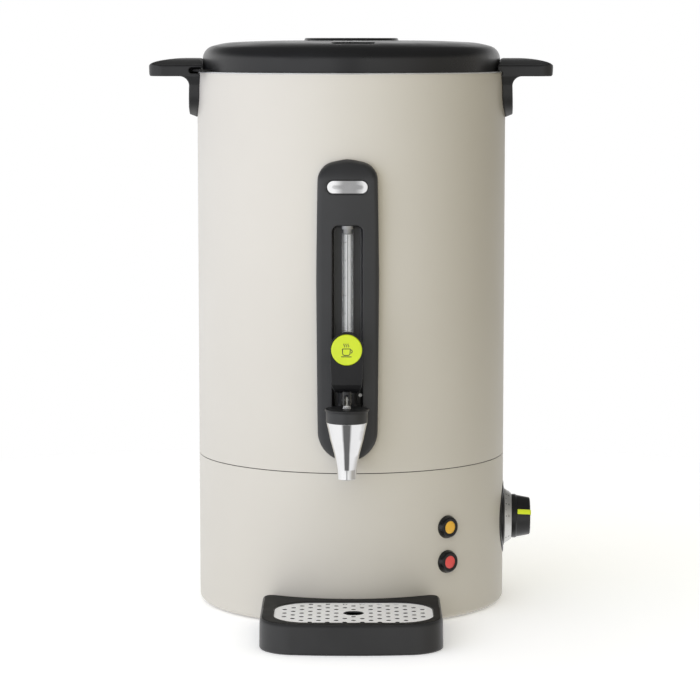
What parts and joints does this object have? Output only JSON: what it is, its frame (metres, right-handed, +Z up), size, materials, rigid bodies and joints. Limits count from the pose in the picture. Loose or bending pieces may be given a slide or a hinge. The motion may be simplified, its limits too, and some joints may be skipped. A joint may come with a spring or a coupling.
{
  "type": "hot water urn",
  "caption": "Double-skinned electric hot water urn with bayonet lid, side handles, sight tube, sprung lever tap, thermostat knob, pilot lamps and a loose drip tray.",
  "frame": {"origin": "on the drum's vertical axis, at the plane of the foot ring's underside, where the urn meets the table", "axes": "+Z up along the drum's axis; -Y the front, where the panel, tap and drip tray are; +X towards the thermostat knob's side, the right hand side seen from the front"},
  "size_m": [0.354, 0.3925, 0.5002],
  "materials": {
    "body_paint": "satin",
    "stainless": "brushed",
    "polished_steel": "polished",
    "black_plastic": "satin",
    "grey_plastic": "satin",
    "lid_plastic": "satin",
    "lime_plastic": "gloss",
    "sight_glass": "clear",
    "scale_print": "satin",
    "amber_lens": "clear",
    "red_lens": "clear",
    "silicone": "matte",
    "dark_rubber": "matte",
    "aluminium": "satin",
    "zinc_steel": "satin",
    "brass": "satin",
    "copper": "satin",
    "felt": "matte",
    "white_plastic": "satin",
    "wire_insulation": "matte",
    "dial_silver": "satin",
    "neon_glass": "clear"
  },
  "bodies": {
    "urn": {"body_shell": "body_paint", "base_shell": "body_paint", "joint_ring": "dark_rubber", "inner_tank": "stainless", "insulation_sleeve": "felt", "foot_ring": "dark_rubber", "base_plate": "zinc_steel", "base_screws": "stainless", "tie_rods": "zinc_steel", "heat_spreader": "aluminium", "heating_element": "stainless", "thermal_cutout": "white_plastic", "terminal_block": "white_plastic", "wiring": "wire_insulation", "cable_gland": "black_plastic", "gland_nut": "black_plastic", "handle_left": "black_plastic", "handle_right": "black_plastic", "handle_plates": "zinc_steel", "handle_screws": "stainless", "front_panel": "grey_plastic", "badge_plate": "polished_steel", "panel_screws": "stainless", "sight_tube": "sight_glass", "sight_tube_cap": "silicone", "level_scale": "scale_print", "sight_tube_elbow": "black_plastic", "elbow_nut": "black_plastic", "spout": "polished_steel", "tap_collar": "grey_plastic", "tap_cap": "black_plastic", "stem_gland": "stainless", "tap_washers": "silicone", "tap_nut": "brass", "lamp_bezels": "black_plastic", "lamp_lens_amber": "amber_lens", "lamp_lens_red": "red_lens", "lamp_nuts": "black_plastic", "lamp_bulbs": "neon_glass", "knob_bezel": "black_plastic", "dial_ring": "dial_silver", "thermostat_body": "white_plastic", "thermostat_nut": "zinc_steel", "thermostat_capillary": "copper"},
    "lid_ring": {"lid_seal": "silicone"},
    "lid": {"lid_shell": "lid_plastic", "lid_lugs": "lid_plastic", "lid_liner": "stainless", "lid_screws": "stainless"},
    "valve": {"valve_stem": "stainless", "seat_cup": "silicone", "stem_spring": "stainless", "lever_pin": "stainless"},
    "tap_lever": {"lever": "black_plastic", "lever_disc": "lime_plastic"},
    "dial_knob": {"knob": "black_plastic", "knob_pointer": "lime_plastic", "thermostat_spindle": "stainless"},
    "tray": {"drip_tray": "grey_plastic"},
    "grille": {"drip_grille": "stainless"}
  },
  "joints": [
    {"name": "lid_lift", "type": "slide", "parent": "urn", "child": "lid_ring", "axis": [0, 0, 1], "range_m": [0, 0.12]},
    {"name": "lid_turn", "type": "hinge", "parent": "lid_ring", "child": "lid", "pos_m": [0, 0, 0.4715], "axis": [0, 0, 1], "range_deg": [-12.5, 136]},
    {"name": "valve_lift", "type": "slide", "parent": "urn", "child": "valve", "axis": [0, 0, 1], "range_m": [0, 0.0026], "deforming": ["stem_spring"]},
    {"name": "lever_tilt", "type": "hinge", "parent": "valve", "child": "tap_lever", "pos_m": [0, -0.167, 0.2], "axis": [1, 0, 0], "range_deg": [0, 30], "stiffness_Nm_per_rad": 0.4, "springref_deg": -20.05},
    {"name": "knob_turn", "type": "hinge", "parent": "urn", "child": "dial_knob", "pos_m": [0.155, 0, 0.0734], "axis": [1, 0, 0], "range_deg": [-204, 66]},
    {"name": "tray_pull", "type": "slide", "parent": "urn", "child": "tray", "axis": [0.0218, -0.9998, 0], "range_m": [0, 0.15]},
    {"name": "grille_lift", "type": "slide", "parent": "tray", "child": "grille", "axis": [0, 0, 1], "range_m": [0, 0.05]}
  ],
  "couplings": [
    {"joint": "valve_lift", "follows": "lever_tilt", "m_per_rad": 0.0046}
  ]
}
